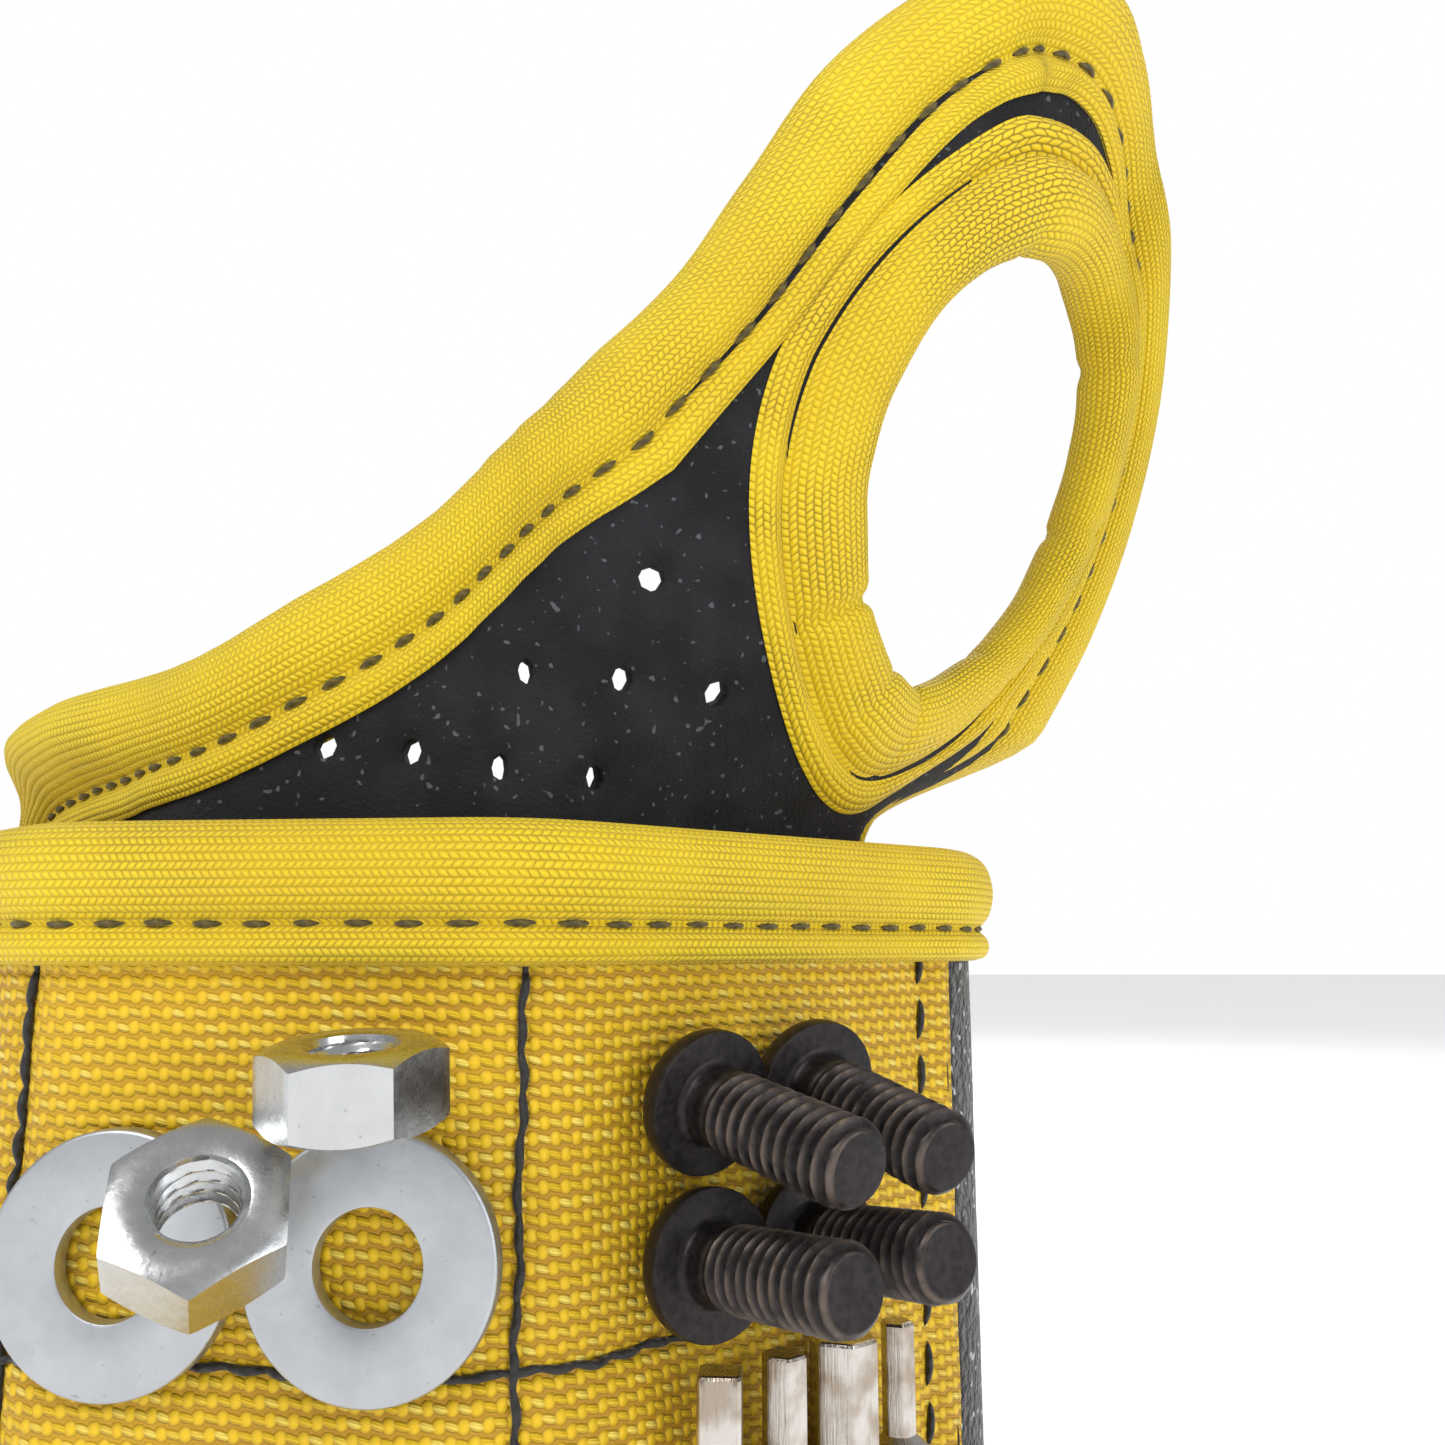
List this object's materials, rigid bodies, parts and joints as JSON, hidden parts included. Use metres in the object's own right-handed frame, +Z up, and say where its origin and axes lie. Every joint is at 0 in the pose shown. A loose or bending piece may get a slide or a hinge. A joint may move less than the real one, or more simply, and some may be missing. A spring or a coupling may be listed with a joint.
{
  "type": "magnetic tool wristband",
  "caption": "Padded wristband with magnets sewn behind its front and a thumb-loop hand panel, worn closed and holding loose washers, nuts, screws and driver bits.",
  "frame": {"origin": "middle of the bounding box, at the height of the lower binding", "axes": "+Z up, along the wrist towards the thumb; -Y out of the front that carries the hardware; +X to the side of the thumb hole"},
  "size_m": [0.1328, 0.1014, 0.1582],
  "materials": {
    "yellow_nylon": "golden yellow woven nylon",
    "binding_tape": "yellow ribbed binding tape",
    "loop_pile": "black loop pile",
    "hook_tape": "black plastic hooks",
    "panel_velour": "black perforated velour",
    "lining_mesh": "dark mesh lining",
    "foam": "grey foam",
    "magnet": "nickel plated",
    "zinc": "zinc plated steel",
    "black_oxide": "black oxide steel",
    "bit_steel": "warm grey tool steel"
  },
  "bodies": {
    "wristband": {"bottom_binding": "binding_tape", "hand_panel": "panel_velour", "hand_panel_binding": "binding_tape", "inner_lining": "lining_mesh", "loop_pile_strap": "loop_pile", "magnet_backing_foam": "foam", "magnet_lower_left": "magnet", "magnet_lower_middle": "magnet", "magnet_lower_right": "magnet", "magnet_upper_left": "magnet", "magnet_upper_middle": "magnet", "magnet_upper_right": "magnet", "outer_cover": "yellow_nylon", "strap_padding": "foam", "thumb_hole_binding": "binding_tape", "top_binding": "binding_tape"},
    "closing_arm": {"arm_bottom_binding": "binding_tape", "arm_fabric": "loop_pile", "arm_lining": "lining_mesh", "arm_padding": "foam", "arm_top_binding": "binding_tape"},
    "hook_tab": {"tab_binding": "binding_tape", "tab_fabric": "loop_pile", "hook_tape": "hook_tape"},
    "washer_right": {"washer_right": "zinc"},
    "washer_left": {"washer_left": "zinc"},
    "nut_upright": {"nut_upright": "zinc"},
    "nut_leaning": {"nut_leaning": "zinc"},
    "screw_upper_left": {"screw_upper_left": "black_oxide"},
    "screw_upper_right": {"screw_upper_right": "black_oxide"},
    "screw_lower_left": {"screw_lower_left": "black_oxide"},
    "screw_lower_right": {"screw_lower_right": "black_oxide"},
    "bit_square": {"bit_square": "bit_steel"},
    "bit_hex_small": {"bit_hex_small": "bit_steel"},
    "bit_hex_large": {"bit_hex_large": "bit_steel"},
    "bit_hex_fine": {"bit_hex_fine": "bit_steel"}
  },
  "joints": [
    {"name": "arm_swing", "type": "hinge", "parent": "wristband", "child": "closing_arm", "pos_m": [-0.0666, 0.0028, 0], "axis": [0, 0, 1], "range_deg": [0, 60]},
    {"name": "tab_peel", "type": "hinge", "parent": "closing_arm", "child": "hook_tab", "pos_m": [-0.0563, 0.0331, 0], "axis": [0, 0, 1], "range_deg": [0, 70]},
    {"name": "washer_right_lift", "type": "slide", "parent": "wristband", "child": "washer_right", "axis": [-0.1076, -0.9942, 0], "range_m": [0, 0.025]},
    {"name": "washer_left_lift", "type": "slide", "parent": "washer_right", "child": "washer_left", "axis": [-0.1076, -0.9942, 0], "range_m": [0, 0.025]},
    {"name": "nut_upright_lift", "type": "slide", "parent": "washer_right", "child": "nut_upright", "axis": [-0.0943, -0.8711, 0.4819], "range_m": [0, 0.025]},
    {"name": "nut_leaning_lift", "type": "slide", "parent": "washer_left", "child": "nut_leaning", "axis": [-0.4281, -0.8988, -0.094], "range_m": [0, 0.025]},
    {"name": "screw_upper_left_lift", "type": "slide", "parent": "wristband", "child": "screw_upper_left", "axis": [0.5691, -0.8223, 0], "range_m": [0, 0.025]},
    {"name": "screw_upper_right_lift", "type": "slide", "parent": "wristband", "child": "screw_upper_right", "axis": [0.5691, -0.8223, 0], "range_m": [0, 0.025]},
    {"name": "screw_lower_left_lift", "type": "slide", "parent": "wristband", "child": "screw_lower_left", "axis": [0.5691, -0.8223, 0], "range_m": [0, 0.025]},
    {"name": "screw_lower_right_lift", "type": "slide", "parent": "wristband", "child": "screw_lower_right", "axis": [0.5691, -0.8223, 0], "range_m": [0, 0.025]},
    {"name": "bit_square_lift", "type": "slide", "parent": "wristband", "child": "bit_square", "axis": [0.663, -0.7486, 0], "range_m": [0, 0.025]},
    {"name": "bit_hex_small_lift", "type": "slide", "parent": "wristband", "child": "bit_hex_small", "axis": [0.663, -0.7486, 0], "range_m": [0, 0.025]},
    {"name": "bit_hex_large_lift", "type": "slide", "parent": "wristband", "child": "bit_hex_large", "axis": [0.663, -0.7486, 0], "range_m": [0, 0.025]},
    {"name": "bit_hex_fine_lift", "type": "slide", "parent": "wristband", "child": "bit_hex_fine", "axis": [0.663, -0.7486, 0], "range_m": [0, 0.025]}
  ]
}
